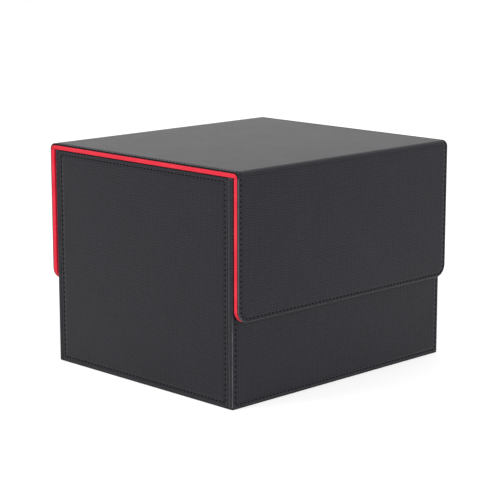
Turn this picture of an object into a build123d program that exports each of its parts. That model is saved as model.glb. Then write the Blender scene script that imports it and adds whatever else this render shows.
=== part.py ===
from build123d import *
from math import pi
import os

# Storage case for graded cards: an open tray with two compartments, and a loose wrap-over lid of one
# leather sheet that folds down the front and the back and is held there by hidden magnets.
# Millimetres. The origin is under the middle of the tray, X along the width, the front towards -Y, +Z up.
# The case is drawn closed.

# Room for the cards
COMPARTMENT_WIDTH = 88.0
COMPARTMENT_DEPTH = 151.0
COMPARTMENT_HEIGHT = 138.0

# Sheet materials, from the outside of a wall to its inside. The front and back walls have a finger notch
# and a thicker board, which takes the magnets.
LEATHER = 1.1
SUEDE = 0.8
SIDE_WALL_BOARD = 2.6
NOTCHED_WALL_BOARD = 3.6
RIM_LINING = 1.4
RIM_TURN = 1.0
INSERT_CARD = 1.3
BASE_BOARD = 1.2
FLOOR_LINING = 0.7

# Tray walls
CORNER_RADIUS = 1.2
CORNER_RETURN = 3.2
CORNER_SEAM = 0.3
NOTCH_POST = 31.0
NOTCH_DEPTH = 55.5
NOTCH_TOP_RADIUS = 9.0
NOTCH_BOTTOM_RADIUS = 9.0
RIM_BELOW_NOTCH = 3.4
INSERT_SEAM = 1.3

# Divider between the compartments
DIVIDER_BOARD = 3.8
DIVIDER_BELOW_NOTCH = 0.2
DIVIDER_TAB_CLEARANCE = 0.3

# Lid
LID_BOARD = 1.9
FLAP_BOARD = 2.0
LID_REST_GAP = 0.2
FLAP_GAP = 1.3
FLAP_DROP = 91.0
FLAP_CORNER_RADIUS = 8.0
FOLD_RADIUS = 4.0

# Disc magnets
MAGNET_DIAMETER = 12.0
WALL_MAGNET_HEIGHT = 1.6
FLAP_MAGNET_HEIGHT = 1.5
MAGNET_CLEARANCE = 0.1
MAGNET_SPACING = 96.0
MAGNET_ABOVE_FLAP_EDGE = 14.0

# Tray layers, measured inwards from its outer faces
SIDE_BOARD_FACE = LEATHER + SIDE_WALL_BOARD
SIDE_RIM_FACE = SIDE_BOARD_FACE + RIM_LINING
SIDE_INSERT_FACE = SIDE_BOARD_FACE + INSERT_CARD + SUEDE
NOTCHED_BOARD_FACE = LEATHER + NOTCHED_WALL_BOARD
NOTCHED_RIM_FACE = NOTCHED_BOARD_FACE + RIM_LINING
NOTCHED_INSERT_FACE = NOTCHED_BOARD_FACE + INSERT_CARD + SUEDE
DIVIDER_THICKNESS = DIVIDER_BOARD + 2 * SUEDE

# Half sizes of the tray
HALF_WIDTH = COMPARTMENT_WIDTH + DIVIDER_THICKNESS / 2 + SIDE_INSERT_FACE
HALF_DEPTH = COMPARTMENT_DEPTH / 2 + NOTCHED_INSERT_FACE
NOTCH_HALF_WIDTH = HALF_WIDTH - NOTCH_POST

# Heights in the tray
BASE_BOARD_TOP = LEATHER + BASE_BOARD
FLOOR = BASE_BOARD_TOP + FLOOR_LINING
RIM = FLOOR + COMPARTMENT_HEIGHT
NOTCH_BOTTOM = RIM - NOTCH_DEPTH
RIM_LINING_BOTTOM = NOTCH_BOTTOM - RIM_BELOW_NOTCH
INSERT_TOP = RIM_LINING_BOTTOM - INSERT_SEAM
DIVIDER_TOP = NOTCH_BOTTOM - DIVIDER_BELOW_NOTCH
DIVIDER_TAB_TOP = RIM_LINING_BOTTOM - DIVIDER_TAB_CLEARANCE

# Lid layers and places
LID_THICKNESS = LEATHER + LID_BOARD + SUEDE
FLAP_THICKNESS = LEATHER + FLAP_BOARD + SUEDE
LID_UNDERSIDE = RIM + LID_REST_GAP
LID_TOP = LID_UNDERSIDE + LID_THICKNESS
FLAP_INNER_FACE = HALF_DEPTH + FLAP_GAP
FLAP_OUTER_FACE = FLAP_INNER_FACE + FLAP_THICKNESS
FLAP_EDGE = LID_TOP - FLAP_DROP
FOLD_CENTRE_Y = FLAP_OUTER_FACE - FOLD_RADIUS
FOLD_CENTRE_Z = LID_TOP - FOLD_RADIUS
MAGNET_Z = FLAP_EDGE + MAGNET_ABOVE_FLAP_EDGE

# The fold turns about a line this far inside both outer faces, which keeps the leather's length
# the same when the flap lies flat.
FOLD_AXIS_INSET = FOLD_RADIUS - pi / 4 * (FOLD_RADIUS - LEATHER / 2)

# Sides that carry the same piece, mirrored
SIDES_X = {"left": -1, "right": 1}
SIDES_Y = {"front": -1, "back": 1}


def front_sheet(outline, outer, inner):
    """A front-facing outline as a sheet between two distances in front of the middle."""
    return extrude(Plane.XZ.offset(inner) * outline, outer - inner)


def end_bar(section, x_start, x_end):
    """A Y-Z section as a bar that runs along the width."""
    return extrude(Plane.YZ.offset(x_start) * section, x_end - x_start)


def on_side_y(piece, side):
    """A piece drawn at the front, moved to its mirrored place where the side is the back."""
    return piece if SIDES_Y[side] < 0 else mirror(piece, about=Plane.XZ)


def on_side_x(piece, side):
    """A piece drawn on the right, moved to its mirrored place where the side is the left."""
    return piece if SIDES_X[side] > 0 else mirror(piece, about=Plane.YZ)


def rectangle(x_start, x_end, y_start, y_end):
    """A rectangle between two pairs of edges."""
    centre = Pos((x_start + x_end) / 2, (y_start + y_end) / 2)
    return centre * Rectangle(x_end - x_start, y_end - y_start)


def round_corners(outline, radius, x, y):
    """The outline with its corners at plus and minus x, at height y, rounded."""
    corners = [v for v in outline.vertices() if abs(abs(v.X) - x) < 1e-6 and abs(v.Y - y) < 1e-6]
    return fillet(corners, radius)


def notched_outline(half_width, bottom, inset=0.0):
    """A front or back wall with its finger notch. The inset pulls the rim and the notch's edge in."""
    top = RIM - inset
    notch = NOTCH_HALF_WIDTH + inset
    notch_bottom = NOTCH_BOTTOM - inset
    panel = rectangle(-half_width, half_width, bottom, top)
    outline = panel - rectangle(-notch, notch, notch_bottom, top)
    outline = round_corners(outline, NOTCH_TOP_RADIUS - inset, notch, top)
    return round_corners(outline, NOTCH_BOTTOM_RADIUS + inset, notch, notch_bottom)


def flap_outline(inset=0.0):
    """A lid flap, straight at the fold and with its two free corners rounded."""
    half_width = HALF_WIDTH - inset
    edge = FLAP_EDGE + inset
    outline = rectangle(-half_width, half_width, edge, FOLD_CENTRE_Z - inset)
    return round_corners(outline, FLAP_CORNER_RADIUS - inset, half_width, edge)


def magnet(side, outer, height, clearance=0.0):
    """A disc lying against a front-facing plane, or its pocket where a clearance is given."""
    x = SIDES_X[side] * MAGNET_SPACING / 2
    disc = Pos(x, MAGNET_Z) * Circle(MAGNET_DIAMETER / 2 + clearance)
    return front_sheet(disc, outer, outer - height)


def base():
    """The bottom leather, the board on it and one floor lining in each compartment."""
    skin = RectangleRounded(2 * HALF_WIDTH, 2 * HALF_DEPTH, CORNER_RADIUS)
    plate = Rectangle(2 * (HALF_WIDTH - LEATHER), 2 * (HALF_DEPTH - LEATHER))
    nodes = {
        "base_leather": extrude(skin, LEATHER),
        "base_board": extrude(Plane.XY.offset(LEATHER) * plate, BASE_BOARD),
    }
    inner = DIVIDER_THICKNESS / 2
    floor = rectangle(inner, inner + COMPARTMENT_WIDTH, -COMPARTMENT_DEPTH / 2, COMPARTMENT_DEPTH / 2)
    lining = extrude(Plane.XY.offset(BASE_BOARD_TOP) * floor, FLOOR_LINING)
    for side in SIDES_X:
        nodes[f"floor_lining_{side}"] = on_side_x(lining, side)
    return nodes


def notched_wall_board():
    """The front wall's board, with a pocket for each magnet under the leather."""
    outer = HALF_DEPTH - LEATHER
    outline = notched_outline(HALF_WIDTH - LEATHER, BASE_BOARD_TOP, RIM_TURN)
    board = front_sheet(outline, outer, HALF_DEPTH - NOTCHED_BOARD_FACE)
    for side in SIDES_X:
        board -= magnet(side, outer, WALL_MAGNET_HEIGHT, MAGNET_CLEARANCE)
    return board


def notched_wall_leather():
    """The front wall's leather, turned round both upright corners onto the side walls."""
    skin = rectangle(-HALF_WIDTH, HALF_WIDTH, -HALF_DEPTH, CORNER_RETURN - HALF_DEPTH)
    inner = HALF_WIDTH - LEATHER
    skin = round_corners(skin, CORNER_RADIUS, HALF_WIDTH, -HALF_DEPTH)
    skin -= rectangle(-inner, inner, LEATHER - HALF_DEPTH, CORNER_RETURN - HALF_DEPTH)
    outline = notched_outline(HALF_WIDTH, LEATHER)
    return extrude(skin, RIM) & front_sheet(outline, HALF_DEPTH, HALF_DEPTH - CORNER_RETURN)


def notched_rim_lining():
    """The lining of the front wall's upper part, turned over the rim and the notch's edge."""
    board_face = HALF_DEPTH - NOTCHED_BOARD_FACE
    face_outline = notched_outline(HALF_WIDTH - SIDE_RIM_FACE, RIM_LINING_BOTTOM)
    face = front_sheet(face_outline, board_face, HALF_DEPTH - NOTCHED_RIM_FACE)
    half_width = HALF_WIDTH - LEATHER
    turned = notched_outline(half_width, RIM_LINING_BOTTOM)
    turned -= notched_outline(half_width, RIM_LINING_BOTTOM, RIM_TURN)
    return face + front_sheet(turned, HALF_DEPTH - LEATHER, board_face)


def notched_walls():
    """The front and back walls: board, leather, rim lining and two magnets each."""
    outer = HALF_DEPTH - LEATHER
    nodes = {}
    for wall in SIDES_Y:
        nodes[f"{wall}_wall_board"] = on_side_y(notched_wall_board(), wall)
        nodes[f"{wall}_wall_leather"] = on_side_y(notched_wall_leather(), wall)
        nodes[f"{wall}_rim_lining"] = on_side_y(notched_rim_lining(), wall)
        for side in SIDES_X:
            disc = magnet(side, outer, WALL_MAGNET_HEIGHT)
            nodes[f"{wall}_wall_magnet_{side}"] = on_side_y(disc, wall)
    return nodes


def side_walls():
    """The plain left and right walls: board, leather and rim lining."""
    half_board = HALF_DEPTH - NOTCHED_BOARD_FACE
    half_leather = HALF_DEPTH - CORNER_RETURN - CORNER_SEAM
    outer = HALF_WIDTH - LEATHER
    board_inner = HALF_WIDTH - SIDE_BOARD_FACE
    rim_inner = HALF_WIDTH - SIDE_RIM_FACE
    board_outline = rectangle(-half_board, half_board, BASE_BOARD_TOP, RIM - RIM_TURN)
    leather_outline = rectangle(-half_leather, half_leather, LEATHER, RIM)
    lining_section = rectangle(rim_inner, board_inner, RIM_LINING_BOTTOM, RIM)
    lining_section += rectangle(rim_inner, outer, RIM - RIM_TURN, RIM)
    lining = front_sheet(lining_section, half_board, -half_board)
    nodes = {}
    for side in SIDES_X:
        nodes[f"{side}_wall_board"] = on_side_x(end_bar(board_outline, board_inner, outer), side)
        nodes[f"{side}_wall_leather"] = on_side_x(end_bar(leather_outline, outer, HALF_WIDTH), side)
        nodes[f"{side}_rim_lining"] = on_side_x(lining, side)
    return nodes


def insert_sections(outer):
    """Sections of an insert panel that stands at an outer face: the card, and the suede over it."""
    card_inner = outer - INSERT_CARD
    card = rectangle(card_inner, outer, BASE_BOARD_TOP, INSERT_TOP - SUEDE)
    cover = rectangle(card_inner - SUEDE, outer, BASE_BOARD_TOP, INSERT_TOP)
    return {"card": card, "suede": cover - card}


def inserts():
    """The suede-covered cards that line the compartments up to the seam."""
    half_board = HALF_DEPTH - NOTCHED_BOARD_FACE
    inner = DIVIDER_THICKNESS / 2
    nodes = {}
    for layer, section in insert_sections(HALF_WIDTH - SIDE_BOARD_FACE).items():
        panel = front_sheet(section, half_board, -half_board)
        for side in SIDES_X:
            nodes[f"{side}_insert_{layer}"] = on_side_x(panel, side)
    for layer, section in insert_sections(half_board).items():
        panel = end_bar(section, inner, inner + COMPARTMENT_WIDTH)
        back_panels = {side: on_side_x(panel, side) for side in SIDES_X}
        for side, back_panel in back_panels.items():
            nodes[f"back_{side}_insert_{layer}"] = back_panel
            nodes[f"front_{side}_insert_{layer}"] = mirror(back_panel, about=Plane.XZ)
    return nodes


def divider_profile(inset):
    """The divider from its side: tabs between the insert panels, and a narrower part up to the rim lining."""
    tab = HALF_DEPTH - NOTCHED_BOARD_FACE
    shoulder = HALF_DEPTH - NOTCHED_RIM_FACE
    profile = rectangle(-tab, tab, BASE_BOARD_TOP, DIVIDER_TAB_TOP)
    return profile + rectangle(-shoulder, shoulder, BASE_BOARD_TOP, DIVIDER_TOP - inset)


def divider():
    """The board between the compartments, and the suede folded over its top."""
    board = end_bar(divider_profile(SUEDE), -DIVIDER_BOARD / 2, DIVIDER_BOARD / 2)
    cover = end_bar(divider_profile(0.0), -DIVIDER_THICKNESS / 2, DIVIDER_THICKNESS / 2)
    return {"divider_board": board, "divider_suede": cover - board}


def lid_panel():
    """The lid's top: leather, board, and a lining turned up round the board's edges."""
    board_outline = Rectangle(2 * (HALF_WIDTH - SUEDE), 2 * (FOLD_CENTRE_Y - SUEDE))
    outline = Rectangle(2 * HALF_WIDTH, 2 * FOLD_CENTRE_Y)
    leather_bottom = LID_TOP - LEATHER
    board = extrude(Plane.XY.offset(leather_bottom - LID_BOARD) * board_outline, LID_BOARD)
    cover = extrude(Plane.XY.offset(LID_UNDERSIDE) * outline, leather_bottom - LID_UNDERSIDE)
    return {
        "lid_top_leather": extrude(Plane.XY.offset(leather_bottom) * outline, LEATHER),
        "lid_top_board": board,
        "lid_top_lining": cover - board,
    }


def flaps():
    """The lid's front and back flaps, built like its top, with magnets under the lining."""
    leather_face = FLAP_OUTER_FACE - LEATHER
    board_face = FLAP_INNER_FACE + SUEDE
    magnet_face = board_face + FLAP_MAGNET_HEIGHT
    blank = front_sheet(flap_outline(SUEDE), leather_face, board_face)
    board = blank
    for side in SIDES_X:
        board -= magnet(side, magnet_face, FLAP_MAGNET_HEIGHT, MAGNET_CLEARANCE)
    layers = {
        "leather": front_sheet(flap_outline(), FLAP_OUTER_FACE, leather_face),
        "board": board,
        "lining": front_sheet(flap_outline(), leather_face, FLAP_INNER_FACE) - blank,
    }
    for side in SIDES_X:
        layers[f"magnet_{side}"] = magnet(side, magnet_face, FLAP_MAGNET_HEIGHT)
    return {f"{flap}_flap_{layer}": on_side_y(piece, flap) for flap in SIDES_Y for layer, piece in layers.items()}


def folds():
    """The strips of leather and lining that bend where the lid's top meets each flap."""
    radii = [FOLD_RADIUS, FOLD_RADIUS - LEATHER, FOLD_RADIUS - LEATHER - SUEDE]
    quarter = rectangle(-FOLD_RADIUS, 0.0, 0.0, FOLD_RADIUS)
    nodes = {}
    for layer, outer, inner in zip(("leather", "lining"), radii, radii[1:]):
        section = Pos(-FOLD_CENTRE_Y, FOLD_CENTRE_Z) * ((Circle(outer) - Circle(inner)) & quarter)
        strip = end_bar(section, -HALF_WIDTH, HALF_WIDTH)
        for fold in SIDES_Y:
            nodes[f"{fold}_fold_{layer}"] = on_side_y(strip, fold)
    return nodes


os.makedirs("parts", exist_ok=True)
for group in (base, notched_walls, side_walls, inserts, divider, lid_panel, flaps, folds):
    for name, piece in group().items():
        export_step(piece, f"parts/{name}.step")
print("fold axis", round(FLAP_OUTER_FACE - FOLD_AXIS_INSET, 3), round(LID_TOP - FOLD_AXIS_INSET, 3))
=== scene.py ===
from math import copysign, cos, pi, radians, sin

import bmesh
import bpy
from mathutils import Matrix, Vector


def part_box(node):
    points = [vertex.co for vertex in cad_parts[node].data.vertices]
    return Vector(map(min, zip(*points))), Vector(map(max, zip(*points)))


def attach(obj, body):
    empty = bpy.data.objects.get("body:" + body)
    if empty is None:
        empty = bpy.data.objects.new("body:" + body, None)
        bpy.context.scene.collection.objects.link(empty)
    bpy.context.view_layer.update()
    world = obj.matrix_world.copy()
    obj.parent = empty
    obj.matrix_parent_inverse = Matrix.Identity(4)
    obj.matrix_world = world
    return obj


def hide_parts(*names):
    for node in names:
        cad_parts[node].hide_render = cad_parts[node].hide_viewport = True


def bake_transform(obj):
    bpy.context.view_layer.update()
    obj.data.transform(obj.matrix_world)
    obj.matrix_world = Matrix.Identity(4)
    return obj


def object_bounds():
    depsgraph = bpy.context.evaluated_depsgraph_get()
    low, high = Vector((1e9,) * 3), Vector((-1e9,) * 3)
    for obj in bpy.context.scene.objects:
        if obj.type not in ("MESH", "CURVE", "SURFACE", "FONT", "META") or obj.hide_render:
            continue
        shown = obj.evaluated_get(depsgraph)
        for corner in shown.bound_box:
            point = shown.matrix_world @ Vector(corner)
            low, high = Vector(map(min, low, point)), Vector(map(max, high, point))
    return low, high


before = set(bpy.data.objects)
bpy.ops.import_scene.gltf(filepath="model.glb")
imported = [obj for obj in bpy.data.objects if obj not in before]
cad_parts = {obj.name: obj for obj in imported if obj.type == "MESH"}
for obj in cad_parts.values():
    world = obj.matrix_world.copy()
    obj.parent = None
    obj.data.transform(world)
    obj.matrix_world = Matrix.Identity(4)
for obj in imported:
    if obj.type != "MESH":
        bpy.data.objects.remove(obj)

# A storage case for graded cards, closed: a tray covered with black grained leather and lined with red
# suede, under a wrap-over lid of one sheet that folds down the front and the back.
# Metres. Flat sheets are drawn in their own frame (across, along, out), bent, and then set in place.

CAD_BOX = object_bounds()
SCENE = bpy.context.scene
MM = 0.001
MAP = "sheet"


def low(node):
    """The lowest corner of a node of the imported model."""
    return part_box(node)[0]


def high(node):
    """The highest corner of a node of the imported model."""
    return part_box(node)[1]


# Tray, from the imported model
HALF_WIDTH = high("back_wall_leather").x
HALF_DEPTH = high("back_wall_leather").y
RIM = high("back_wall_leather").z
LEATHER = high("base_leather").z
CORNER_RETURN = HALF_DEPTH - low("back_wall_leather").y
SIDE_LEATHER_HALF = high("right_wall_leather").y
LEATHER_BACK_X = high("right_wall_board").x
LEATHER_BACK_Y = high("back_wall_board").y
BOARD_FACE_X = low("right_wall_board").x
BOARD_FACE_Y = low("back_wall_board").y
RIM_FACE_X = low("right_rim_lining").x
RIM_FACE_Y = low("back_rim_lining").y
RIM_LINING_BOTTOM = low("back_rim_lining").z
RIM_TURN = RIM - high("back_wall_board").z
INSERT_FACE_X = low("right_insert_suede").x
INSERT_FACE_Y = low("back_right_insert_suede").y
INSERT_TOP = high("right_insert_suede").z
INSERT_BOTTOM = low("right_insert_suede").z
SUEDE = INSERT_TOP - high("right_insert_card").z
FLOOR = high("floor_lining_right").z
FLOOR_LINING = FLOOR - low("floor_lining_right").z
DIVIDER_HALF = high("divider_suede").x
DIVIDER_TOP = high("divider_suede").z

# Lid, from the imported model
LID_TOP = high("lid_top_leather").z
LID_UNDERSIDE = low("lid_top_lining").z
FOLD_START = high("lid_top_leather").y
FLAP_OUTER = high("back_flap_leather").y
FLAP_INNER = low("back_flap_lining").y
FLAP_EDGE = low("back_flap_leather").z
FLAP_END = high("back_flap_leather").z
FOLD_RADIUS = FLAP_OUTER - FOLD_START
FOLD_LENGTH = FOLD_RADIUS * pi / 2

# Rounded corners and the finger notch
CORNER_RADIUS = 1.2 * MM
NOTCH_POST = 31.0 * MM
NOTCH_DEPTH = 55.5 * MM
NOTCH_HALF_WIDTH = HALF_WIDTH - NOTCH_POST
NOTCH_BOTTOM = RIM - NOTCH_DEPTH
NOTCH_RADIUS = 9.0 * MM
FLAP_CORNER_RADIUS = 8.0 * MM
PANEL_CORNER_RADIUS = 0.6 * MM

# Edges of the sheets
LEATHER_EDGE = 0.75 * MM
LEATHER_BACK_EDGE = 0.12 * MM
SUEDE_EDGE = 0.4 * MM
RIM_EDGE = 1.2 * MM
RIM_FLAT_SHARE = 2.5
INSERT_EDGE = 0.9 * MM
DIVIDER_EDGE = 1.7 * MM
SEAM_OVERLAP = 0.16 * MM
SEAM_DEPTH = 0.2 * MM
RETURN_EDGE_SHARE = 0.3
HEM = 0.25 * MM
NOSE_GAP = 0.1 * MM

# Sewing
STITCH_INSET = 2.7 * MM
LID_STITCH_INSET = 2.2 * MM
STITCH_PITCH = 3.2 * MM
STITCH_LENGTH = 2.2 * MM
SIDE_STITCH_INSET = 2.6 * MM
LINING_STITCH_INSET = 5.0 * MM
BOTTOM_SEWN_LOWER = 1.0 * MM
SEWN_CORNER = radians(40)
THREAD = 0.42 * MM
THREAD_END_SHARE = 0.1
THREAD_DIP = 1.6 * THREAD
GROOVE = 0.22 * MM
GROOVE_HALF = 0.7 * MM
FLAT_BORDER = 2.6 * MM

# Dark cut sides, and round edges painted paler as wear and painted highlight, by depth below the face
CUT_SIDE_BELOW = 0.25 * MM
EDGE_WEAR_AND_HIGHLIGHT_BELOW = 0.03 * MM

# Faces that lean and faces that lie in the sheet, by the outward part of their normal
LEANING_FROM = 0.2
LEANING_TO = 0.9
LYING_FROM = 0.8

# Painted highlight on the tray's upright corners: its share of the rounding, and its fade under the
# flaps' shade
CORNER_HIGHLIGHT_SHARE = 0.4
CORNER_HIGHLIGHT_TOP = FLAP_EDGE + 6.0 * MM
CORNER_HIGHLIGHT_FADE = 16.0 * MM

# Ribs of the leather's grain, and the rate of the wave that draws them, in radians per unit
RIB_PITCH = 1.5 * MM
WAVE_RATE = 20.0

# The middle range of a noise
NOISE_LOW = 0.3
NOISE_HIGH = 0.7

# Steps of the meshes
ARC_STEPS = 8
EDGE_STEPS = 4
FOLD_STEPS = 10
CORNER_STEPS = 6
THREAD_SIDES = 6
THREAD_STATIONS = (0.0, 0.12, 0.32, 0.5, 0.68, 0.88, 1.0)
SHARP_ANGLE = radians(50)
ON_CUT = 0.001 * MM

# Materials of a leather sheet, by number
CUT_SIDE_AND_SHADE = 1
EDGE_WEAR_AND_HIGHLIGHT = 2
CORNER_HIGHLIGHT = 3

# Directions that the walls face, as turns about the vertical from the front
FRONT = 0.0
RIGHT = pi / 2
BACK = pi
LEFT = -pi / 2


def facing(turn, distance):
    """The frame of an upright sheet that faces the front, turned, at a distance from the middle."""
    upright = Matrix(((1, 0, 0, 0), (0, 0, -1, 0), (0, 1, 0, 0), (0, 0, 0, 1)))
    return Matrix.Rotation(turn, 4, "Z") @ upright @ Matrix.Translation((0, 0, distance))


def lying(height):
    """The frame of a sheet that lies face up at a height."""
    return Matrix.Translation((0, 0, height))


def lying_face_down(height):
    """The frame of a sheet that lies face down at a height."""
    return Matrix.Translation((0, 0, height)) @ Matrix.Rotation(pi, 4, "X")


def arc(x, y, radius, start, end):
    """Points on an arc, between two angles given in quarter turns."""
    angles = [(start + (end - start) * k / ARC_STEPS) * pi / 2 for k in range(ARC_STEPS + 1)]
    return [Vector((x + radius * cos(a), y + radius * sin(a))) for a in angles]


def panel_line(x_low, x_high, y_low, y_high, low_radius, high_radius):
    """A rectangle with rounded corners, counter-clockwise from its lower left corner."""
    return [
        *arc(x_low + low_radius, y_low + low_radius, low_radius, 2, 3),
        *arc(x_high - low_radius, y_low + low_radius, low_radius, 3, 4),
        *arc(x_high - high_radius, y_high - high_radius, high_radius, 0, 1),
        *arc(x_low + high_radius, y_high - high_radius, high_radius, 1, 2),
    ]


def centred_line(half_width, half_length, radius):
    """A rectangle with rounded corners about the middle of the sheet."""
    return panel_line(-half_width, half_width, -half_length, half_length, radius, radius)


def rim_line(inset, half_width):
    """The rim of a notched wall, with the notch, from left to right, pulled in by an inset."""
    top = RIM - inset
    notch = NOTCH_HALF_WIDTH + inset
    bottom = NOTCH_BOTTOM - inset
    upper = NOTCH_RADIUS - inset
    lower = NOTCH_RADIUS + inset
    return [
        Vector((-half_width, top)),
        *arc(-notch - upper, top - upper, upper, 1, 0),
        *arc(-notch + lower, bottom + lower, lower, 2, 3),
        *arc(notch - lower, bottom + lower, lower, 3, 4),
        *arc(notch + upper, top - upper, upper, 2, 1),
        Vector((half_width, top)),
    ]


def notched_line(inset, half_width, bottom):
    """A notched wall's outline, counter-clockwise from its lower left corner."""
    return [
        Vector((-half_width, bottom)),
        Vector((half_width, bottom)),
        *reversed(rim_line(inset, half_width)),
    ]


def at_height(line, height):
    """A flat line as points of the sheet's frame."""
    return [Vector((point.x, point.y, height)) for point in line]


def round_edge(radius):
    """Insets and heights of a rounded edge, from the sheet's side up to its face."""
    angles = [pi / 2 * k / EDGE_STEPS for k in range(EDGE_STEPS + 1)]
    return [(radius * (1 - cos(a)), -radius * (1 - sin(a))) for a in angles]


def leather_edge():
    """Insets and heights of the edge of a leather sheet, from its back to its face."""
    back = [(LEATHER_BACK_EDGE, -LEATHER), (0.0, LEATHER_BACK_EDGE - LEATHER)]
    return back + round_edge(LEATHER_EDGE)


def stitch_groove(inset):
    """Insets and heights of the hollow that a row of stitches draws into leather."""
    return [
        (inset - GROOVE_HALF, 0.0),
        (inset - GROOVE_HALF / 3, -GROOVE),
        (inset + GROOVE_HALF / 3, -GROOVE),
        (inset + GROOVE_HALF, 0.0),
        (inset + FLAT_BORDER, 0.0),
    ]


def add_skin(mesh, rings):
    """Adds a closed form through rings of equal counts, with a face over the first and the last."""
    loops = [[mesh.verts.new(point) for point in ring] for ring in rings]
    for lower, upper in zip(loops, loops[1:]):
        for i in range(len(lower)):
            j = (i + 1) % len(lower)
            mesh.faces.new((lower[i], lower[j], upper[j], upper[i]))
    mesh.faces.new(list(reversed(loops[0])))
    mesh.faces.new(loops[-1])


def skin(*forms):
    """A mesh of closed forms, each given as its rings."""
    mesh = bmesh.new()
    for rings in forms:
        add_skin(mesh, rings)
    bmesh.ops.recalc_face_normals(mesh, faces=mesh.faces)
    return mesh


def bar(section, start, end):
    """Rings of a straight bar: a section of (along, out) points between two places across."""
    return [[Vector((x, along, out)) for along, out in section] for x in (start, end)]


def cut(mesh, axis, place):
    """Cuts the mesh where a coordinate has this value."""
    normal = Vector((0, 0, 0))
    normal[axis] = 1
    geometry = [*mesh.verts, *mesh.edges, *mesh.faces]
    bmesh.ops.bisect_plane(mesh, geom=geometry, dist=ON_CUT, plane_co=normal * place, plane_no=normal)


def cut_folds(mesh, axis, start, radius, steps):
    """Cuts both ends of a flat sheet where it will bend."""
    for side in (-1, 1):
        for k in range(steps + 1):
            cut(mesh, axis, side * (start + radius * pi / 2 * k / steps))


def bend_ends(mesh, axis, start, radius):
    """Bends both ends of a flat sheet back by a right angle, beyond a distance from its middle."""
    for vert in mesh.verts:
        over = abs(vert.co[axis]) - start
        if over > 0:
            turn = min(over / radius, pi / 2)
            reach = radius + vert.co.z
            beyond = max(over - radius * pi / 2, 0)
            vert.co[axis] = copysign(start + reach * sin(turn), vert.co[axis])
            vert.co.z = reach * cos(turn) - radius - beyond


def keep_side(mesh, axis, place, side):
    """Keeps the part of a mesh on one side of a cut, and closes the cut."""
    cut(mesh, axis, place)
    gone = [v for v in mesh.verts if (v.co[axis] - place) * side < -ON_CUT]
    bmesh.ops.delete(mesh, geom=gone, context="VERTS")
    border = [e for e in mesh.edges if e.is_boundary]
    bmesh.ops.contextual_create(mesh, geom=border)
    bmesh.ops.recalc_face_normals(mesh, faces=mesh.faces)


def lay_map(mesh):
    """Lays the flat sheet's own coordinates on it as its map, in metres."""
    layer = mesh.loops.layers.uv.new(MAP)
    for face in mesh.faces:
        for loop in face.loops:
            loop[layer].uv = loop.vert.co.xy


def mark_edges(mesh):
    """Gives the second material to all faces but the sheet's front and back."""
    mesh.normal_update()
    for face in mesh.faces:
        face.material_index = 0 if abs(face.normal.z) > LYING_FROM else 1


def mark_leather(mesh):
    """Marks the round edges of a leather sheet, painted paler as wear and painted highlight, and its
    dark cut sides and back.
    """
    mesh.normal_update()
    for face in mesh.faces:
        top = max(v.co.z for v in face.verts)
        leaning = LEANING_FROM < abs(face.normal.z) < LEANING_TO
        if leaning and top < -EDGE_WEAR_AND_HIGHLIGHT_BELOW:
            face.material_index = EDGE_WEAR_AND_HIGHLIGHT
        elif not leaning and top < -CUT_SIDE_BELOW:
            face.material_index = CUT_SIDE_AND_SHADE


def mark_corner_highlights(mesh, start, end):
    """Marks the middle of both upright corners for the painted highlight, between two distances from the
    sheet's middle.
    """
    for face in mesh.faces:
        across = abs(face.calc_center_median().x)
        if start < across < end and face.material_index != CUT_SIDE_AND_SHADE:
            face.material_index = CORNER_HIGHLIGHT


def paint_edge_shade(mesh, low, high):
    """Paints shade on the round edges between two places along the sheet, with the dark leather of the
    cut sides.
    """
    for face in mesh.faces:
        if face.material_index == EDGE_WEAR_AND_HIGHLIGHT and low < face.calc_center_median().y < high:
            face.material_index = CUT_SIDE_AND_SHADE


def piece(name, mesh, place, materials, nodes=()):
    """A mesh as a piece of the object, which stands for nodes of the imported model."""
    mesh.transform(place)
    data = bpy.data.meshes.new(name)
    mesh.to_mesh(data)
    mesh.free()
    for material in materials:
        data.materials.append(material)
    data.shade_smooth()
    data.set_sharp_from_angle(angle=SHARP_ANGLE)
    made = bpy.data.objects.new(name, data)
    SCENE.collection.objects.link(made)
    if nodes:
        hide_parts(*nodes)
    return made


def straight_runs(line):
    """Splits a closed line at its sharp corners, if it has any."""
    count = len(line)
    corners = []
    for i in range(count):
        before = line[i] - line[i - 1]
        after = line[(i + 1) % count] - line[i]
        if before.angle(after) > SEWN_CORNER:
            corners.append(i)
    if not corners:
        corners = [0]
    spans = zip(corners, [*corners[1:], corners[0] + count])
    return [[line[k % count] for k in range(start, end + 1)] for start, end in spans]


def point_along(line, distance):
    """The point at a distance along a line."""
    for start, end in zip(line, line[1:]):
        step = (end - start).length
        if distance <= step:
            return start.lerp(end, distance / step)
        distance -= step
    return line[-1]


def stitch_spans(runs):
    """Start and end of each stitch in a row, evenly spaced in each run."""
    spans = []
    for run in runs:
        length = sum((end - start).length for start, end in zip(run, run[1:]))
        count = max(1, round(length / STITCH_PITCH))
        pitch = length / count
        for k in range(count):
            middle = (k + 0.5) * pitch
            ends = (middle - STITCH_LENGTH / 2, middle + STITCH_LENGTH / 2)
            spans.append(tuple(point_along(run, place) for place in ends))
    return spans


def thread_rings(start, end, sink):
    """Rings of one stitch, which bows up from both of its holes."""
    across = (end - start).normalized().orthogonal()
    rings = []
    for station in THREAD_STATIONS:
        from_middle = abs(2 * station - 1)
        centre = start.lerp(end, station)
        radius = THREAD * max(1 - from_middle**4, THREAD_END_SHARE) ** 0.5
        height = -sink - THREAD_DIP * from_middle**3
        angles = [2 * pi * k / THREAD_SIDES for k in range(THREAD_SIDES)]
        ring = []
        for angle in angles:
            side = centre + across * radius * cos(angle)
            ring.append(Vector((side.x, side.y, height + radius * sin(angle))))
        rings.append(ring)
    return rings


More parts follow.
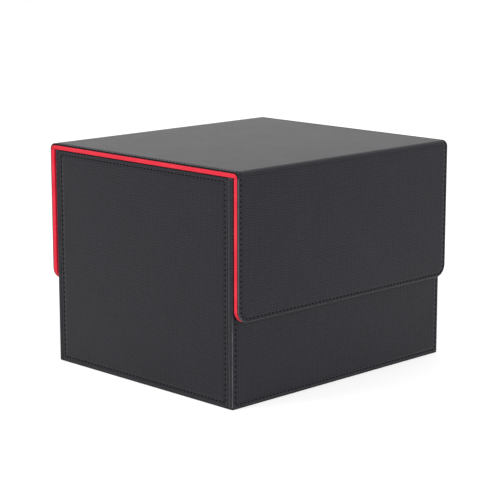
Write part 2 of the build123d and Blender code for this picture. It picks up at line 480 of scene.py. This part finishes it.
def stitches(spans, sink):
    """A mesh of stitches, sunk into a flat sheet."""
    return skin(*[thread_rings(start, end, sink) for start, end in spans])


def add_node(tree, kind, inputs, **settings):
    """A shader node with its settings, and with its inputs set or linked."""
    made = tree.nodes.new(kind)
    for name, value in settings.items():
        setattr(made, name, value)
    for name, value in inputs.items():
        if isinstance(value, bpy.types.NodeSocket):
            tree.links.new(value, made.inputs[name])
        else:
            made.inputs[name].default_value = value
    return made


def new_material(name):
    """A material, its node tree and its shader."""
    material = bpy.data.materials.new(name)
    material.use_nodes = True
    return material, material.node_tree, material.node_tree.nodes["Principled BSDF"]


def sheet_map(tree):
    """The flat sheet's coordinates, in metres."""
    return add_node(tree, "ShaderNodeUVMap", {}, uv_map=MAP).outputs["UV"]


def noise(tree, place, scale, detail):
    """Noise of so many spots per metre along each axis."""
    stretched = add_node(tree, "ShaderNodeMapping", {"Vector": place, "Scale": scale})
    inputs = {"Vector": stretched.outputs["Vector"], "Scale": 1.0, "Detail": detail}
    return add_node(tree, "ShaderNodeTexNoise", inputs).outputs["Fac"]


def ribs(tree, place, pitch, direction):
    """Fine parallel ribs of this pitch, which follow each other in a direction, slightly wavy."""
    scale = 2 * pi / (WAVE_RATE * pitch)
    inputs = {"Vector": place, "Scale": scale, "Distortion": 3.2, "Detail": 2.0}
    made = add_node(tree, "ShaderNodeTexWave", inputs, bands_direction=direction)
    return made.outputs["Fac"]


def mixed(tree, first, second, share):
    """Two numbers mixed, with this share of the second."""
    made = add_node(tree, "ShaderNodeMix", {"Factor": share, "A": first, "B": second})
    return made.outputs["Result"]


def ramp(tree, value, colours, places):
    """A value turned into a colour between two colours."""
    made = add_node(tree, "ShaderNodeValToRGB", {"Fac": value})
    for element, place, colour in zip(made.color_ramp.elements, places, colours):
        element.position = place
        element.color = (*colour, 1)
    return made.outputs["Color"]


def spread(tree, value, start, end):
    """The middle range of a noise, spread between two values."""
    inputs = {
        "Value": value,
        "From Min": NOISE_LOW,
        "From Max": NOISE_HIGH,
        "To Min": start,
        "To Max": end,
    }
    return add_node(tree, "ShaderNodeMapRange", inputs).outputs["Result"]


def bump(tree, value, height, strength):
    """Normals of a relief of this height."""
    inputs = {"Height": value, "Distance": height, "Strength": strength}
    return add_node(tree, "ShaderNodeBump", inputs).outputs["Normal"]


def make_leather():
    """Black imitation leather with a fine cross-hatched grain, satin."""
    material, tree, shader = new_material("black_leather")
    place = sheet_map(tree)
    ribs_along = ribs(tree, place, RIB_PITCH, direction="X")
    ribs_across = ribs(tree, place, RIB_PITCH, direction="Y")
    crossed = mixed(tree, ribs_along, ribs_across, share=0.5)
    lines_across = noise(tree, place, scale=(60, 850, 1), detail=2.0)
    lines_along = noise(tree, place, scale=(850, 50, 1), detail=2.0)
    uneven = mixed(tree, lines_across, lines_along, share=0.55)
    hatch = mixed(tree, uneven, crossed, share=0.6)
    clouds = noise(tree, place, scale=(26, 26, 1), detail=3.0)
    tone = mixed(tree, hatch, clouds, share=0.12)
    colours = ((0.0045, 0.0041, 0.0064), (0.0157, 0.0147, 0.0202))
    tree.links.new(ramp(tree, tone, colours, places=(0.34, 0.66)), shader.inputs["Base Color"])
    tree.links.new(spread(tree, tone, start=0.48, end=0.33), shader.inputs["Roughness"])
    tree.links.new(bump(tree, hatch, height=0.1 * MM, strength=0.6), shader.inputs["Normal"])
    shader.inputs["Specular IOR Level"].default_value = 0.18
    return material


def make_cut_side_and_shade():
    """The same leather at its cut sides and its back, darker and dull; also laid as painted shade on
    round edges that lie in shadow.
    """
    material, tree, shader = new_material("leather_cut_side_and_shade")
    fibre = noise(tree, sheet_map(tree), scale=(1600, 1600, 1), detail=2.0)
    colours = ((0.003, 0.0028, 0.004), (0.008, 0.0076, 0.01))
    tree.links.new(ramp(tree, fibre, colours, places=(0.35, 0.65)), shader.inputs["Base Color"])
    tree.links.new(bump(tree, fibre, height=0.05 * MM, strength=0.5), shader.inputs["Normal"])
    shader.inputs["Roughness"].default_value = 0.8
    shader.inputs["Specular IOR Level"].default_value = 0.12
    return material


def make_wear_and_highlight():
    """The same leather at its round edges, paler in places: wear, and painted highlight where the edges
    catch the light.
    """
    material, tree, shader = new_material("leather_wear_and_highlight")
    place = sheet_map(tree)
    patches = noise(tree, place, scale=(140, 140, 1), detail=3.0)
    grains = noise(tree, place, scale=(850, 850, 1), detail=2.0)
    paleness = mixed(tree, patches, grains, share=0.4)
    colours = ((0.03, 0.029, 0.033), (0.075, 0.073, 0.077))
    tree.links.new(ramp(tree, paleness, colours, places=(0.34, 0.66)), shader.inputs["Base Color"])
    tree.links.new(spread(tree, paleness, start=0.4, end=0.5), shader.inputs["Roughness"])
    shader.inputs["Specular IOR Level"].default_value = 0.3
    return material


def make_corner_highlight():
    """The same leather at the tray's upright corners, with a painted highlight below the lid's flaps
    that fades out where the flaps shade them.
    """
    material, tree, shader = new_material("leather_corner_highlight")
    place = sheet_map(tree)
    height = add_node(tree, "ShaderNodeSeparateXYZ", {"Vector": place}).outputs["Y"]
    inputs = {
        "Value": height,
        "From Min": CORNER_HIGHLIGHT_TOP,
        "From Max": CORNER_HIGHLIGHT_TOP - CORNER_HIGHLIGHT_FADE,
    }
    highlight_part = add_node(tree, "ShaderNodeMapRange", inputs).outputs["Result"]
    patches = noise(tree, place, scale=(140, 140, 1), detail=3.0)
    paleness = mixed(tree, 0.0, patches, share=highlight_part)
    colours = ((0.0101, 0.0094, 0.0133), (0.068, 0.066, 0.07))
    tree.links.new(ramp(tree, paleness, colours, places=(0.0, 0.66)), shader.inputs["Base Color"])
    shader.inputs["Roughness"].default_value = 0.45
    shader.inputs["Specular IOR Level"].default_value = 0.25
    return material


def make_suede(name, dark, light, sheen):
    """Red suede with a soft nap, brushed lighter and darker in places."""
    material, tree, shader = new_material(name)
    place = sheet_map(tree)
    brushed = noise(tree, place, scale=(75, 60, 1), detail=5.0)
    fibre = noise(tree, place, scale=(2300, 2300, 1), detail=3.0)
    tone = mixed(tree, brushed, fibre, share=0.55)
    tree.links.new(ramp(tree, tone, (dark, light), places=(0.32, 0.68)), shader.inputs["Base Color"])
    tree.links.new(bump(tree, fibre, height=0.16 * MM, strength=0.55), shader.inputs["Normal"])
    shader.inputs["Roughness"].default_value = 0.92
    shader.inputs["Specular IOR Level"].default_value = 0.02
    shader.inputs["Sheen Weight"].default_value = sheen
    shader.inputs["Sheen Roughness"].default_value = 0.28
    shader.inputs["Sheen Tint"].default_value = (1.0, 0.3, 0.31, 1)
    return material


def make_thread(name, dark, light):
    """Sewing thread, with its fibres as fine noise."""
    material, tree, shader = new_material(name)
    fibre = noise(tree, sheet_map(tree), scale=(5200, 5200, 1), detail=2.0)
    tree.links.new(ramp(tree, fibre, (dark, light), places=(0.35, 0.65)), shader.inputs["Base Color"])
    tree.links.new(bump(tree, fibre, height=0.06 * MM, strength=0.5), shader.inputs["Normal"])
    shader.inputs["Roughness"].default_value = 0.85
    shader.inputs["Specular IOR Level"].default_value = 0.06
    return material


def make_board():
    """Grey board with flecks of fibre."""
    material, tree, shader = new_material("grey_board")
    place = add_node(tree, "ShaderNodeTexCoord", {}).outputs["Object"]
    flecks = noise(tree, place, scale=(900, 900, 900), detail=4.0)
    colours = ((0.24, 0.22, 0.19), (0.42, 0.39, 0.35))
    tree.links.new(ramp(tree, flecks, colours, places=(0.35, 0.65)), shader.inputs["Base Color"])
    tree.links.new(bump(tree, flecks, height=0.08 * MM, strength=0.4), shader.inputs["Normal"])
    shader.inputs["Roughness"].default_value = 0.9
    return material


def make_nickel():
    """Nickel plate with fine scratches."""
    material, tree, shader = new_material("nickel_plate")
    place = add_node(tree, "ShaderNodeTexCoord", {}).outputs["Object"]
    scratches = noise(tree, place, scale=(1500, 200, 200), detail=3.0)
    colours = ((0.55, 0.53, 0.49), (0.68, 0.66, 0.62))
    tree.links.new(ramp(tree, scratches, colours, places=(0.3, 0.7)), shader.inputs["Base Color"])
    tree.links.new(spread(tree, scratches, start=0.2, end=0.34), shader.inputs["Roughness"])
    shader.inputs["Metallic"].default_value = 1.0
    return material


BLACK_LEATHER = make_leather()
# Dark cut sides and back of the leather; the same dark leather is laid as painted shade on shaded round
# edges
LEATHER_CUT_SIDE_AND_SHADE = make_cut_side_and_shade()
# Round edges of the leather, paler as wear and as painted highlight
LEATHER_WEAR_AND_HIGHLIGHT = make_wear_and_highlight()
# Painted highlight on the tray's upright corners, fading out in the flaps' shade
LEATHER_CORNER_HIGHLIGHT = make_corner_highlight()
RED_SUEDE = make_suede("red_suede", (0.43, 0.006, 0.023), (0.69, 0.02, 0.046), sheen=0.9)
# Turned edges of the suede: paler nap, and a painted highlight where they catch the light
RED_SUEDE_EDGE_HIGHLIGHT = make_suede("red_suede_edge_highlight", (0.57, 0.02, 0.038), (0.75, 0.05, 0.075), sheen=0.6)
DARK_THREAD = make_thread("dark_thread", (0.002, 0.002, 0.0024), (0.0065, 0.0063, 0.0072))
RED_THREAD = make_thread("red_thread", (0.52, 0.05, 0.065), (0.78, 0.12, 0.14))
LEATHER_SHEET = (BLACK_LEATHER, LEATHER_CUT_SIDE_AND_SHADE, LEATHER_WEAR_AND_HIGHLIGHT)
LINING = (RED_SUEDE, RED_SUEDE_EDGE_HIGHLIGHT)


def leather_piece(name, mesh, place, *nodes):
    """A piece of black leather, darker at its cut sides and back, and paler at its round edges as wear
    and painted highlight.
    """
    return piece(name, mesh, place, LEATHER_SHEET, nodes)


def lining_piece(name, mesh, place, *nodes):
    """A piece of red suede, with edges paler partly from the nap at the turn and partly as painted
    highlight.
    """
    return piece(name, mesh, place, LINING, nodes)


def dark_sewing(name, runs, place):
    """Dark stitches in the grooves of a leather sheet."""
    mesh = stitches(stitch_spans(runs), GROOVE)
    lay_map(mesh)
    return piece(name, mesh, place, (DARK_THREAD,))


def red_sewing(name, runs, place):
    """Red stitches on a lining."""
    mesh = stitches(stitch_spans(runs), THREAD / 2)
    lay_map(mesh)
    return piece(name, mesh, place, (RED_THREAD,))


def tray_bottom():
    """The bottom leather and the floor linings."""
    rings = []
    for inset, height in [*leather_edge(), (FLAT_BORDER, 0.0)]:
        radius = max(CORNER_RADIUS - inset, PANEL_CORNER_RADIUS)
        half_width = HALF_WIDTH - inset
        half_depth = HALF_DEPTH - inset
        rings.append(at_height(centred_line(half_width, half_depth, radius), height))
    mesh = skin(rings)
    lay_map(mesh)
    mark_leather(mesh)
    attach(leather_piece("base_cover", mesh, lying_face_down(0.0), "base_leather"), "tray")

    for name, side in (("left", -1), ("right", 1)):
        rings = []
        for inset, height in [(0.0, -FLOOR_LINING), *round_edge(SUEDE_EDGE), (FLAT_BORDER, 0.0)]:
            ends = sorted((side * (DIVIDER_HALF + inset), side * (INSERT_FACE_X - inset)))
            half_depth = INSERT_FACE_Y - inset
            line = panel_line(*ends, -half_depth, half_depth, PANEL_CORNER_RADIUS, PANEL_CORNER_RADIUS)
            rings.append(at_height(line, height))
        mesh = skin(rings)
        lay_map(mesh)
        node = f"floor_lining_{name}"
        nap = piece(f"floor_nap_{name}", mesh, lying(FLOOR), (RED_SUEDE,), [node])
        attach(nap, "tray")


def notched_wall_cover(name, turn):
    """A front or back wall's leather, turned round both upright corners, and its stitches."""
    bend_start = HALF_WIDTH - CORNER_RADIUS
    sheet_half = bend_start + CORNER_RADIUS * pi / 2 + CORNER_RETURN - CORNER_RADIUS
    rings = []
    for inset, height in leather_edge():
        half = sheet_half - RETURN_EDGE_SHARE * inset
        rings.append(at_height(notched_line(inset, half, LEATHER + inset), height))
    for inset, height in stitch_groove(STITCH_INSET):
        bottom = LEATHER + inset - BOTTOM_SEWN_LOWER
        rings.append(at_height(notched_line(inset, HALF_WIDTH - inset, bottom), height))
    mesh = skin(rings)
    cut_folds(mesh, 0, bend_start, CORNER_RADIUS, CORNER_STEPS)
    lay_map(mesh)
    mark_leather(mesh)
    # Painted highlight along the middle of each upright corner
    highlight_part = CORNER_RADIUS * pi / 2 * CORNER_HIGHLIGHT_SHARE
    corner = bend_start + CORNER_RADIUS * pi / 4
    mark_corner_highlights(mesh, corner - highlight_part / 2, corner + highlight_part / 2)
    bend_ends(mesh, 0, bend_start, CORNER_RADIUS)
    place = facing(turn, HALF_DEPTH)
    materials = (*LEATHER_SHEET, LEATHER_CORNER_HIGHLIGHT)
    cover = piece(f"{name}_wall_cover", mesh, place, materials, [f"{name}_wall_leather"])
    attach(cover, "tray")

    bottom = LEATHER + STITCH_INSET - BOTTOM_SEWN_LOWER
    line = notched_line(STITCH_INSET, HALF_WIDTH - STITCH_INSET, bottom)
    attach(dark_sewing(f"{name}_wall_stitches", straight_runs(line), place), "tray")


def notched_rim(name, turn):
    """The lining on a front or back wall's upper part, turned over its rim, and its stitches."""
    depth = LEATHER_BACK_Y - RIM_FACE_Y
    thickness = BOARD_FACE_Y - RIM_FACE_Y
    shares = [(inset / RIM_EDGE, height) for inset, height in round_edge(RIM_EDGE)]
    face = []
    for share, height in [(0.0, -thickness), *shares, (RIM_FLAT_SHARE, 0.0)]:
        half_width = RIM_FACE_X - share * SUEDE_EDGE
        bottom = RIM_LINING_BOTTOM + share * SUEDE_EDGE
        face.append(at_height(notched_line(share * RIM_EDGE, half_width, bottom), height))
    section = [
        (RIM_TURN, -depth),
        (SUEDE_EDGE / 2, -depth),
        (0.0, SUEDE_EDGE / 2 - depth),
        (0.0, -RIM_EDGE),
        (RIM_TURN, -RIM_EDGE),
    ]
    lines = [at_height(rim_line(inset, LEATHER_BACK_X), height) for inset, height in section]
    turned = list(zip(*lines))
    hem_section = [
        (INSERT_TOP, HEM - thickness),
        (RIM_LINING_BOTTOM + SUEDE_EDGE, HEM - thickness),
        (RIM_LINING_BOTTOM + SUEDE_EDGE, -thickness),
        (INSERT_TOP, -thickness),
    ]
    mesh = skin(face, turned, bar(hem_section, -RIM_FACE_X, RIM_FACE_X))
    lay_map(mesh)
    mark_edges(mesh)
    place = facing(turn, -RIM_FACE_Y)
    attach(lining_piece(f"{name}_rim_nap", mesh, place, f"{name}_rim_lining"), "tray")

    line = rim_line(STITCH_INSET, RIM_FACE_X - STITCH_INSET)
    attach(red_sewing(f"{name}_rim_stitches", [line], place), "tray")


def side_wall_cover(name, turn):
    """A side wall's leather, which closes the seams to its neighbours, and its stitches."""
    rings = []
    for inset, height in [*leather_edge(), *stitch_groove(SIDE_STITCH_INSET)]:
        reach = SEAM_OVERLAP if inset < LEATHER_EDGE and height < -SEAM_DEPTH else 0.0
        half = SIDE_LEATHER_HALF - inset + reach
        bottom = LEATHER + inset
        top = RIM - inset
        line = panel_line(-half, half, bottom, top, PANEL_CORNER_RADIUS, PANEL_CORNER_RADIUS)
        rings.append(at_height(line, height))
    mesh = skin(rings)
    lay_map(mesh)
    mark_leather(mesh)
    # Painted shade on the wall's top edge, in the shadow under the lid
    paint_edge_shade(mesh, RIM - LEATHER_EDGE, RIM)
    place = facing(turn, HALF_WIDTH)
    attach(leather_piece(f"{name}_wall_cover", mesh, place, f"{name}_wall_leather"), "tray")

    half = SIDE_LEATHER_HALF - SIDE_STITCH_INSET
    bottom = LEATHER + SIDE_STITCH_INSET
    top = RIM - SIDE_STITCH_INSET
    line = [Vector(corner) for corner in ((-half, bottom), (half, bottom), (half, top), (-half, top))]
    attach(dark_sewing(f"{name}_wall_stitches", straight_runs(line), place), "tray")


def hooked_section(thickness, top_thickness, depth, bottom, top, radius):
    """Section of a lining that hangs on a face and is turned over a top edge, as (along, out) points."""
    rounded = [(top + height, -inset) for inset, height in round_edge(radius)]
    return [
        (bottom, -SUEDE_EDGE),
        (bottom + SUEDE_EDGE, 0.0),
        (bottom + SUEDE_EDGE + FLAT_BORDER, 0.0),
        (top - radius - FLAT_BORDER, 0.0),
        *rounded,
        (top, -depth),
        (top - top_thickness, -depth),
        (top - top_thickness, -thickness),
        (bottom, -thickness),
    ]


def side_rim(name, turn):
    """The lining on a side wall's upper part, with its hem behind the insert panel."""
    thickness = BOARD_FACE_X - RIM_FACE_X
    depth = LEATHER_BACK_X - RIM_FACE_X
    section = hooked_section(thickness, RIM_TURN, depth, RIM_LINING_BOTTOM, RIM, RIM_EDGE)
    hem = [
        (INSERT_TOP, -thickness),
        (INSERT_TOP, HEM - thickness),
        (RIM_LINING_BOTTOM, HEM - thickness),
    ]
    mesh = skin(bar(hem + section[:-1], -BOARD_FACE_Y, BOARD_FACE_Y))
    lay_map(mesh)
    mark_edges(mesh)
    place = facing(turn, -RIM_FACE_X)
    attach(lining_piece(f"{name}_rim_nap", mesh, place, f"{name}_rim_lining"), "tray")

    half = RIM_FACE_Y - STITCH_INSET
    line = [Vector((-half, RIM - STITCH_INSET)), Vector((half, RIM - STITCH_INSET))]
    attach(red_sewing(f"{name}_rim_stitches", [line], place), "tray")


def insert_panel(name, turn, face, board_face, start, end):
    """The suede over one insert panel, rounded at its top."""
    section = hooked_section(SUEDE, SUEDE, board_face - face, INSERT_BOTTOM, INSERT_TOP, INSERT_EDGE)
    mesh = skin(bar(section, start, end))
    lay_map(mesh)
    mark_edges(mesh)
    place = facing(turn, -face)
    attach(lining_piece(f"{name}_insert_nap", mesh, place, f"{name}_insert_suede"), "tray")


def inserts():
    """The suede of the six insert panels."""
    insert_panel("left", RIGHT, INSERT_FACE_X, BOARD_FACE_X, -BOARD_FACE_Y, BOARD_FACE_Y)
    insert_panel("right", LEFT, INSERT_FACE_X, BOARD_FACE_X, -BOARD_FACE_Y, BOARD_FACE_Y)
    near, far = DIVIDER_HALF, INSERT_FACE_X
    insert_panel("front_left", BACK, INSERT_FACE_Y, BOARD_FACE_Y, near, far)
    insert_panel("front_right", BACK, INSERT_FACE_Y, BOARD_FACE_Y, -far, -near)
    insert_panel("back_left", FRONT, INSERT_FACE_Y, BOARD_FACE_Y, -far, -near)
    insert_panel("back_right", FRONT, INSERT_FACE_Y, BOARD_FACE_Y, near, far)


def divider_section(top, radius):
    """Section of the suede folded over the divider's board, as (along, out) points."""
    inner = DIVIDER_HALF - SUEDE
    corner = [(top - radius - FLAT_BORDER, DIVIDER_HALF)]
    corner += [(top + height, DIVIDER_HALF - inset) for inset, height in round_edge(radius)]
    mirrored = [(along, -out) for along, out in reversed(corner)]
    return [
        (INSERT_BOTTOM, DIVIDER_HALF),
        *corner,
        *mirrored,
        (INSERT_BOTTOM, -DIVIDER_HALF),
        (INSERT_BOTTOM, -inner),
        (top - SUEDE, -inner),
        (top - SUEDE, inner),
        (INSERT_BOTTOM, inner),
    ]


def divider():
    """The suede over the divider, with its tabs between the insert panels."""
    tab_top = RIM_LINING_BOTTOM - SUEDE_EDGE
    body = bar(divider_section(DIVIDER_TOP, DIVIDER_EDGE), -RIM_FACE_Y, RIM_FACE_Y)
    tab_section = divider_section(tab_top, SUEDE_EDGE)
    tabs = [bar(tab_section, *sorted((side * RIM_FACE_Y, side * BOARD_FACE_Y))) for side in (-1, 1)]
    mesh = skin(body, *tabs)
    lay_map(mesh)
    mark_edges(mesh)
    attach(lining_piece("divider_nap", mesh, facing(RIGHT, 0.0), "divider_suede"), "tray")


def lid_sheet_line(inset):
    """The outline of the lid's leather laid flat, pulled in by an inset."""
    half_width = HALF_WIDTH - inset
    half_length = FOLD_START + FOLD_LENGTH + FLAP_END - FLAP_EDGE - inset
    radius = FLAP_CORNER_RADIUS - inset
    return centred_line(half_width, half_length, radius)


def bend_with_lid(made, fold):
    """Bakes a piece's place into its mesh, the same at the lid's back fold and front fold."""
    if fold == "back":
        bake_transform(made)
    else:
        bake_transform(made)


def lid_cover(fold, side, nodes):
    """The part of the lid's leather that turns at one fold, and its stitches."""
    edge = [*leather_edge(), *stitch_groove(LID_STITCH_INSET)]
    mesh = skin([at_height(lid_sheet_line(inset), height) for inset, height in edge])
    cut_folds(mesh, 1, FOLD_START, FOLD_RADIUS, FOLD_STEPS)
    keep_side(mesh, 1, -FOLD_START, side)
    lay_map(mesh)
    mark_leather(mesh)
    # Painted shade on the round edges of the lid's top and folds
    paint_edge_shade(mesh, -FOLD_START - FOLD_LENGTH, FOLD_START + FOLD_LENGTH)
    bend_ends(mesh, 1, FOLD_START, FOLD_RADIUS)
    bend_with_lid(leather_piece(f"lid_{fold}_cover", mesh, lying(LID_TOP), *nodes), fold)

    runs = straight_runs(lid_sheet_line(LID_STITCH_INSET))
    spans = []
    for start, end in stitch_spans(runs):
        middle = (start + end) / 2
        if (middle.y + FOLD_START) * side > 0:
            spans.append((start, end))
    mesh = stitches(spans, GROOVE)
    lay_map(mesh)
    bend_ends(mesh, 1, FOLD_START, FOLD_RADIUS)
    made = piece(f"lid_{fold}_stitches", mesh, lying(LID_TOP), (DARK_THREAD,))
    bend_with_lid(made, fold)


def pan_edge(depth):
    """Insets and heights of a lining turned up round a board, from inside over its rim to its face."""
    inside = [(SUEDE, -SUEDE), (SUEDE, -depth), (0.0, -depth)]
    return inside + round_edge(SUEDE_EDGE) + [(FLAT_BORDER, 0.0)]


def lid_top_lining():
    """The lining under the lid's top, with a rounded nose that fills each fold, and its stitches."""
    depth = LID_TOP - LEATHER - LID_UNDERSIDE
    nose = FOLD_RADIUS - LEATHER - SUEDE - NOSE_GAP
    rings = []
    for inset, height in pan_edge(depth):
        half_width = HALF_WIDTH - inset
        half_length = FOLD_START - inset
        rings.append(at_height(centred_line(half_width, half_length, PANEL_CORNER_RADIUS), height))
    angles = [pi / 2 * k / ARC_STEPS for k in range(ARC_STEPS + 1)]
    quarter = [(nose * sin(a), -nose * cos(a)) for a in angles]
    noses = []
    for side in (-1, 1):
        section = [(side * (FOLD_START - SUEDE), -nose), (side * (FOLD_START - SUEDE), 0.0)]
        section += [(side * (FOLD_START + reach), height) for reach, height in reversed(quarter)]
        noses.append(bar(section, SUEDE_EDGE - HALF_WIDTH, HALF_WIDTH - SUEDE_EDGE))
    mesh = skin(rings, *noses)
    lay_map(mesh)
    mark_edges(mesh)
    place = lying_face_down(LID_UNDERSIDE)
    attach(lining_piece("lid_top_nap", mesh, place, "lid_top_lining"), "lid_top")

    half_width = HALF_WIDTH - LINING_STITCH_INSET
    half_length = FOLD_START - LINING_STITCH_INSET
    corners = centred_line(half_width, half_length, THREAD)[::ARC_STEPS + 1]
    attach(red_sewing("lid_top_lining_stitches", straight_runs(corners), place), "lid_top")


def flap_line(inset):
    """The outline of a flap's lining, pulled in by an inset."""
    half_width = HALF_WIDTH - inset
    bottom = FLAP_EDGE + inset
    top = FLAP_END - inset
    corner = FLAP_CORNER_RADIUS - inset
    return panel_line(-half_width, half_width, bottom, top, corner, PANEL_CORNER_RADIUS)


def flap_lining(name, turn, body):
    """The lining inside one flap, and its stitches."""
    depth = FLAP_OUTER - LEATHER - FLAP_INNER
    mesh = skin([at_height(flap_line(inset), height) for inset, height in pan_edge(depth)])
    lay_map(mesh)
    mark_edges(mesh)
    place = facing(turn, -FLAP_INNER)
    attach(lining_piece(f"{name}_flap_nap", mesh, place, f"{name}_flap_lining"), body)

    runs = straight_runs(flap_line(LINING_STITCH_INSET))
    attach(red_sewing(f"{name}_flap_lining_stitches", runs, place), body)


def fold_lining(fold, side):
    """The strip of lining that turns with the leather at one fold."""
    start, end = sorted((side * FOLD_START, side * (FOLD_START + FOLD_LENGTH)))
    inside = -LEATHER - SUEDE
    section = [(start, -LEATHER), (end, -LEATHER), (end, inside), (start, inside)]
    mesh = skin(bar(section, SUEDE_EDGE / 2 - HALF_WIDTH, HALF_WIDTH - SUEDE_EDGE / 2))
    cut_folds(mesh, 1, FOLD_START, FOLD_RADIUS, FOLD_STEPS)
    lay_map(mesh)
    mark_edges(mesh)
    bend_ends(mesh, 1, FOLD_START, FOLD_RADIUS)
    made = lining_piece(f"{fold}_fold_nap", mesh, lying(LID_TOP), f"{fold}_fold_lining")
    bend_with_lid(made, fold)


def dress_hidden_nodes():
    """Board and nickel for the pieces inside, which stay as they are."""
    board = make_board()
    nickel = make_nickel()
    for name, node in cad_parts.items():
        if node.hide_render:
            continue
        node.data.materials.clear()
        node.data.materials.append(nickel if "magnet" in name else board)


tray_bottom()
for wall, turn in (("front", FRONT), ("back", BACK)):
    notched_wall_cover(wall, turn)
    notched_rim(wall, turn + pi)
for wall, turn in (("left", LEFT), ("right", RIGHT)):
    side_wall_cover(wall, turn)
    side_rim(wall, turn + pi)
inserts()
divider()
lid_cover("back", 1, ("back_flap_leather", "back_fold_leather", "lid_top_leather"))
lid_cover("front", -1, ("front_flap_leather", "front_fold_leather"))
lid_top_lining()
flap_lining("front", BACK, "lid_front_flap")
flap_lining("back", FRONT, "lid_back_flap")
fold_lining("front", -1)
fold_lining("back", 1)
dress_hidden_nodes()

# Camera, from the front left and a little above
AZIMUTH = radians(-44.8)
ELEVATION = radians(11.6)
DISTANCE = 1.15
LENS = 125.0

# Light
AMBIENT = 0.8
FLOOR_SIZE = 3.0
FLOOR_GAP = 0.1 * MM
FLOOR_ALBEDO = 0.72
FLOOR_GLOW = 0.435
# Soft boxes: place and size in metres, power in watts
SOFT_BOXES = (
    ((-1.5, -1.5, 0.35), 0.6, 14.0),
    ((-0.4, -1.7, 1.0), 1.0, 15.0),
    ((-1.4, 0.8, 1.5), 1.0, 14.0),
)


def aim(thing, place, target):
    """Sets a lamp or camera in place, looking at a target."""
    thing.location = place
    thing.rotation_mode = "QUATERNION"
    thing.rotation_quaternion = (target - place).to_track_quat("-Z", "Y")
    SCENE.collection.objects.link(thing)


def seen_directly(tree):
    """One for rays from the camera, from gloss and through glass, and zero for the rest."""
    path = add_node(tree, "ShaderNodeLightPath", {})
    total = path.outputs["Is Camera Ray"]
    for kind in ("Is Glossy Ray", "Is Transmission Ray"):
        inputs = {0: total, 1: path.outputs[kind]}
        total = add_node(tree, "ShaderNodeMath", inputs, use_clamp=True).outputs[0]
    return total


def make_world():
    """A white surround that lights the object evenly and is seen as plain white."""
    world = bpy.data.worlds.new("studio")
    world.use_nodes = True
    tree = world.node_tree
    strength = mixed(tree, AMBIENT, 1.0, seen_directly(tree))
    tree.links.new(strength, tree.nodes["Background"].inputs["Strength"])
    tree.nodes["Background"].inputs["Color"].default_value = (1, 1, 1, 1)
    SCENE.world = world


def make_floor():
    """A white floor that keeps the object's shadow and fades into the white surround."""
    mesh = bmesh.new()
    bmesh.ops.create_grid(mesh, x_segments=2, y_segments=2, size=FLOOR_SIZE)
    data = bpy.data.meshes.new("floor")
    mesh.to_mesh(data)
    mesh.free()
    material, tree, shader = new_material("floor_white")
    shader.inputs["Base Color"].default_value = (FLOOR_ALBEDO,) * 3 + (1,)
    shader.inputs["Roughness"].default_value = 1.0
    shader.inputs["Specular IOR Level"].default_value = 0.0
    shader.inputs["Emission Color"].default_value = (1, 1, 1, 1)
    inputs = {0: seen_directly(tree), 1: FLOOR_GLOW}
    glow = add_node(tree, "ShaderNodeMath", inputs, operation="MULTIPLY")
    tree.links.new(glow.outputs[0], shader.inputs["Emission Strength"])
    data.materials.append(material)
    floor = bpy.data.objects.new("floor", data)
    floor.location.z = -FLOOR_GAP
    SCENE.collection.objects.link(floor)


def make_studio():
    """Camera, soft lamps, surround and floor."""
    SCENE.view_settings.view_transform = "Standard"
    centre = (CAD_BOX[0] + CAD_BOX[1]) / 2
    back = Vector((sin(AZIMUTH) * cos(ELEVATION), -cos(AZIMUTH) * cos(ELEVATION), sin(ELEVATION)))
    camera = bpy.data.objects.new("camera", bpy.data.cameras.new("camera"))
    camera.data.lens = LENS
    aim(camera, centre + back * DISTANCE, centre)
    SCENE.camera = camera
    for number, (place, size, power) in enumerate(SOFT_BOXES):
        lamp = bpy.data.lights.new(f"soft_box_{number}", "AREA")
        lamp.size = size
        lamp.energy = power
        aim(bpy.data.objects.new(lamp.name, lamp), Vector(place), centre)
    make_world()
    make_floor()


make_studio()
